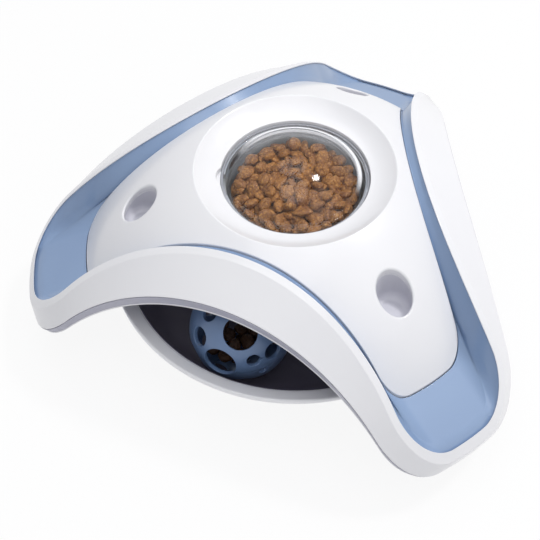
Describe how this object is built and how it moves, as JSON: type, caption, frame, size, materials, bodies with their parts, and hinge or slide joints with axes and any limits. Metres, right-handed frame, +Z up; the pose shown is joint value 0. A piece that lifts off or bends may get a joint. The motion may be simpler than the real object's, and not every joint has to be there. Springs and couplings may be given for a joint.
{
  "type": "treat dispensing toy",
  "caption": "Lobed canopy over a round weighted bowl, with a twist-off clear lid on a kibble hopper, snack cups, and a perforated treat ball rolling round the bowl.",
  "frame": {"origin": "on the toy's vertical axis, in the plane of the floor it stands on", "axes": "+Z up along the axis of bowl, hopper and lid; +Y towards the back lobe; +X to the right"},
  "size_m": [0.2674, 0.2418, 0.1161],
  "materials": {
    "white_shell": "satin moulded plastic",
    "blue_channel": "satin moulded plastic",
    "grey_underside": "matt moulded plastic",
    "white_cups": "satin moulded plastic",
    "hopper_plastic": "translucent matt plastic",
    "clear_lid": "clear plastic",
    "seal": "matt",
    "kibble": "dry kibble",
    "bowl_dark": "satin moulded plastic",
    "bowl_white": "satin moulded plastic",
    "steel": "plain",
    "feet": "matt",
    "ball_plastic": "satin moulded plastic"
  },
  "bodies": {
    "base": {"bowl": "bowl_dark", "bowl_rim": "bowl_white", "feed_cone": "bowl_white", "feed_cone_screw": "steel", "base_weight": "steel", "base_cover": "bowl_white", "base_screws": "steel", "foot_pads": "feet"},
    "canopy": {"canopy_shell": "white_shell", "channel_liner": "blue_channel", "canopy_underside": "grey_underside", "top_cover": "white_shell", "snack_cup_back": "white_cups", "snack_cup_left": "white_cups", "snack_cup_right": "white_cups", "hopper": "hopper_plastic", "hopper_screws": "steel", "cover_screws": "steel", "kibble_fill": "kibble"},
    "lid": {"dome_lid": "clear_lid", "lid_seal": "seal"},
    "ball": {"ball_upper_half": "ball_plastic", "ball_lower_half": "ball_plastic", "ball_kibble": "kibble"}
  },
  "joints": [
    {"name": "canopy_twist", "type": "hinge", "parent": "base", "child": "canopy", "pos_m": [0, 0, 0.06], "axis": [0, 0, 1], "range_deg": [0, 12]},
    {"name": "lid_twist", "type": "hinge", "parent": "canopy", "child": "lid", "pos_m": [0, 0, 0.1], "axis": [0, 0, 1], "range_deg": [0, 35]},
    {"name": "ball_roll", "type": "hinge", "parent": "base", "child": "ball", "pos_m": [0, 0, 0.0408], "axis": [0, 0, 1], "continuous": true}
  ]
}
